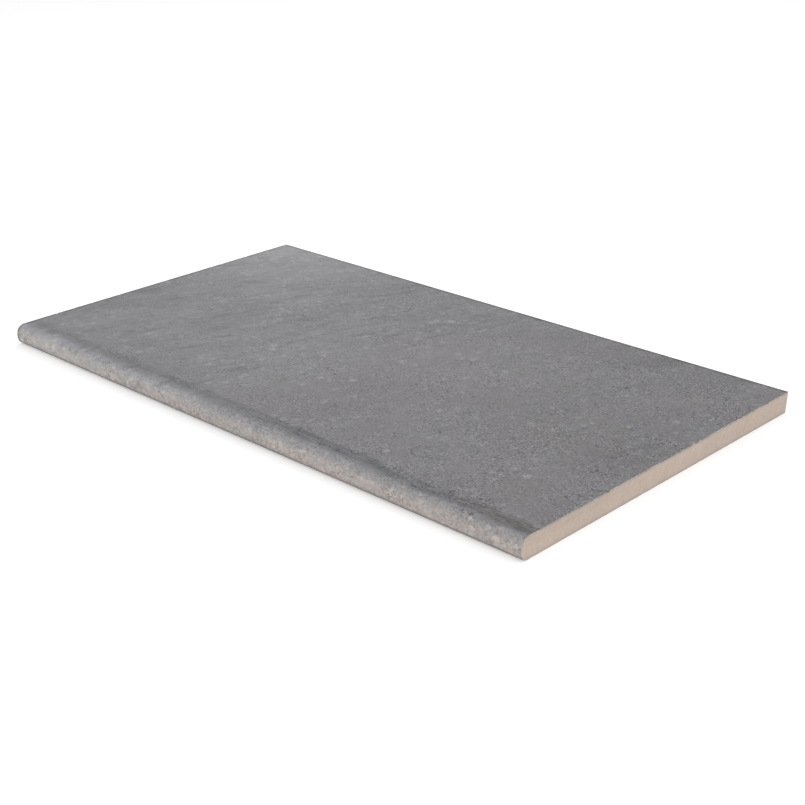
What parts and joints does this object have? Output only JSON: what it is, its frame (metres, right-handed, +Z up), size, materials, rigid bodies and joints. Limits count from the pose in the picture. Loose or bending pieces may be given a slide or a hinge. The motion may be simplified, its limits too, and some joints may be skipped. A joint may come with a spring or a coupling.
{
  "type": "porcelain pool coping",
  "caption": "Flat porcelain slab with a rounded bullnose along one long edge, bedded on a pool wall to cap it and give a safe edge to hold or step on.",
  "frame": {"origin": "on the bedding plane, under the middle of the slab", "axes": "+X along the pool's edge, -Y out over the water, towards the bullnose, +Z up out of the walking face"},
  "size_m": [0.6, 0.33, 0.018],
  "materials": {
    "porcelain": "matte, slip-resistant"
  },
  "bodies": {
    "root": {"coping_tile": "porcelain"}
  },
  "joints": []
}
